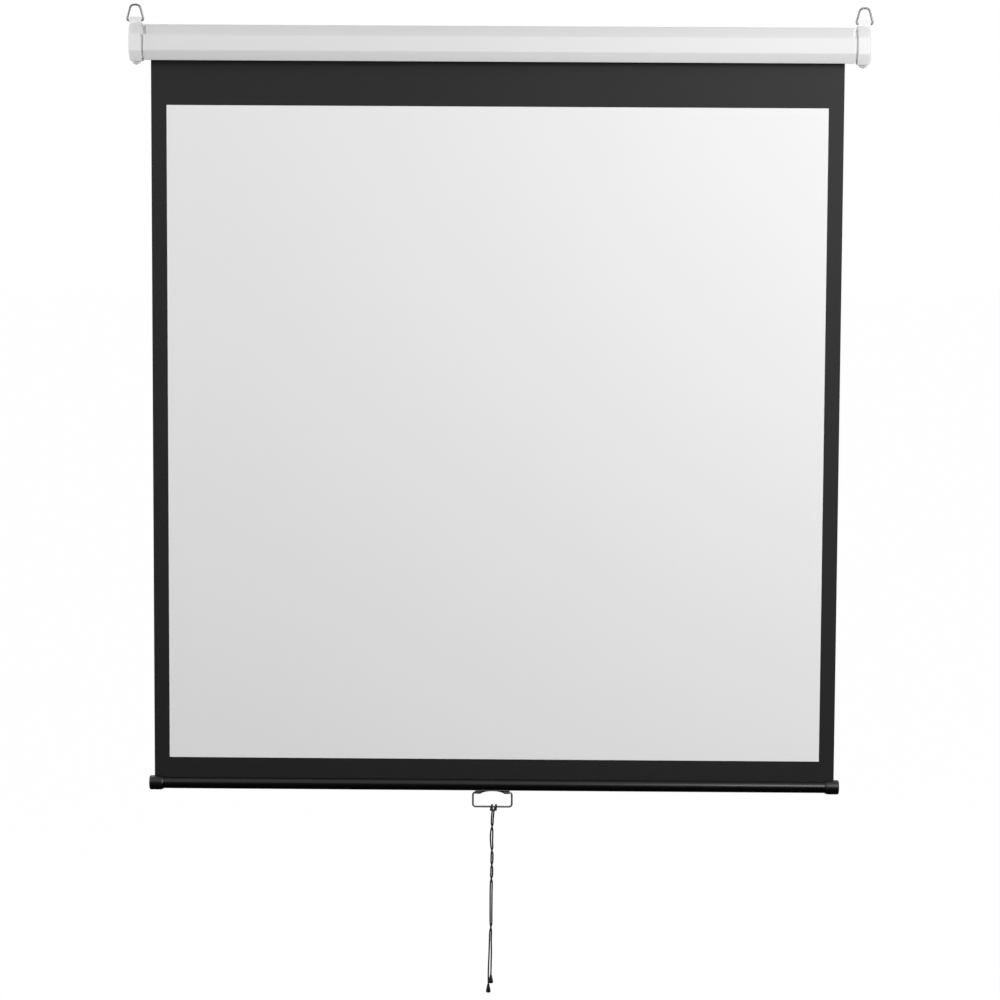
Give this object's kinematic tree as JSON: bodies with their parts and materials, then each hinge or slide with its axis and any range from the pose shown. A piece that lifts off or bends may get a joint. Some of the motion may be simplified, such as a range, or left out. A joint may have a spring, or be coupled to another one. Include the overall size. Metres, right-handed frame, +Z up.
{
  "type": "manual projector screen",
  "caption": "Hanging pull-down projector screen: white case, spring roller with ratchet, square black-bordered white sheet, round weight bar, wire handle and pull cord.",
  "frame": {"origin": "midway between the two hanging rings, at the height of their inner tops, where hooks carry them", "axes": "+Z up, -Y out of the picture side towards the viewers, +X to the right of someone who looks at the picture"},
  "size_m": [1.6858, 0.082, 2.2804],
  "materials": {
    "white_powder_coat": "satin white powder coat on folded sheet steel",
    "white_moulding": "moulded white ABS with a light sheen",
    "zinc_plate": "zinc-plated steel wire and strip",
    "steel": "plain bright steel",
    "spring_steel": "dark oiled spring wire",
    "nylon": "natural nylon",
    "white_vinyl": "matt white coated cloth, black on its back",
    "black_print": "matt black ink",
    "black_paint": "semi-gloss black",
    "black_moulding": "moulded black ABS",
    "black_cord": "braided black polyester"
  },
  "bodies": {
    "case": {"case_shell": "white_powder_coat", "left_end_cap": "white_moulding", "right_end_cap": "white_moulding", "left_hanger_tab": "white_moulding", "right_hanger_tab": "white_moulding", "left_end_cap_screw": "steel", "right_end_cap_screw": "steel", "spring_shaft": "steel", "ratchet_disc": "steel", "spring_anchor": "nylon", "torsion_spring": "spring_steel", "idler_bush": "nylon", "screen_sheet": "white_vinyl", "black_border": "black_print"},
    "roller": {"roller_tube": "steel", "spring_head": "nylon", "idler_plug": "nylon", "idler_pin": "steel", "sheet_turns_on_roller": "white_vinyl"},
    "first_pawl": {"upper_pawl": "steel"},
    "second_pawl": {"lower_pawl": "steel"},
    "left_ring": {"left_hanging_ring": "zinc_plate"},
    "right_ring": {"right_hanging_ring": "zinc_plate"},
    "bar": {"weight_bar": "black_paint", "sheet_hem": "white_vinyl", "hem_rod": "steel", "left_bar_cap": "black_moulding", "right_bar_cap": "black_moulding", "handle_bracket": "zinc_plate", "bracket_rivet_left": "steel", "bracket_rivet_right": "steel"},
    "bail": {"handle": "zinc_plate"},
    "cord": {"cord_hitch": "black_cord", "cord_strand_short": "black_cord", "cord_strand_long": "black_cord", "cord_bell_short": "black_moulding", "cord_bell_long": "black_moulding"}
  },
  "joints": [
    {"name": "screen_travel", "type": "slide", "parent": "case", "child": "bar", "axis": [0, 0, 1], "range_m": [0, 1.644], "deforming": ["screen_sheet", "black_border"]},
    {"name": "roller_spin", "type": "hinge", "parent": "case", "child": "roller", "pos_m": [0, -0.011, -0.0831], "axis": [1, 0, 0], "range_deg": [0, 4500]},
    {"name": "upper_pawl_drop", "type": "hinge", "parent": "roller", "child": "first_pawl", "pos_m": [0, -0.011, -0.0696], "axis": [1, 0, 0], "range_deg": [0, 20]},
    {"name": "lower_pawl_drop", "type": "hinge", "parent": "roller", "child": "second_pawl", "pos_m": [0, -0.011, -0.0966], "axis": [1, 0, 0], "range_deg": [0, 20]},
    {"name": "left_ring_swing", "type": "hinge", "parent": "case", "child": "left_ring", "pos_m": [-0.823, 0, -0.0341], "axis": [1, 0, 0], "range_deg": [-90, 90]},
    {"name": "right_ring_swing", "type": "hinge", "parent": "case", "child": "right_ring", "pos_m": [0.823, 0, -0.0341], "axis": [1, 0, 0], "range_deg": [-90, 90]},
    {"name": "handle_swing", "type": "hinge", "parent": "bar", "child": "bail", "pos_m": [-0.004, 0.00857, -1.8013], "axis": [1, 0, 0], "range_deg": [-110, 110]},
    {"name": "cord_swing", "type": "hinge", "parent": "bail", "child": "cord", "pos_m": [-0.004, 0.00857, -1.8348], "axis": [1, 0, 0], "range_deg": [-110, 110]}
  ],
  "couplings": [
    {"joint": "roller_spin", "follows": "screen_travel", "rad_per_m": 47.773},
    {"joint": "cord_swing", "follows": "handle_swing", "ratio": -1}
  ]
}
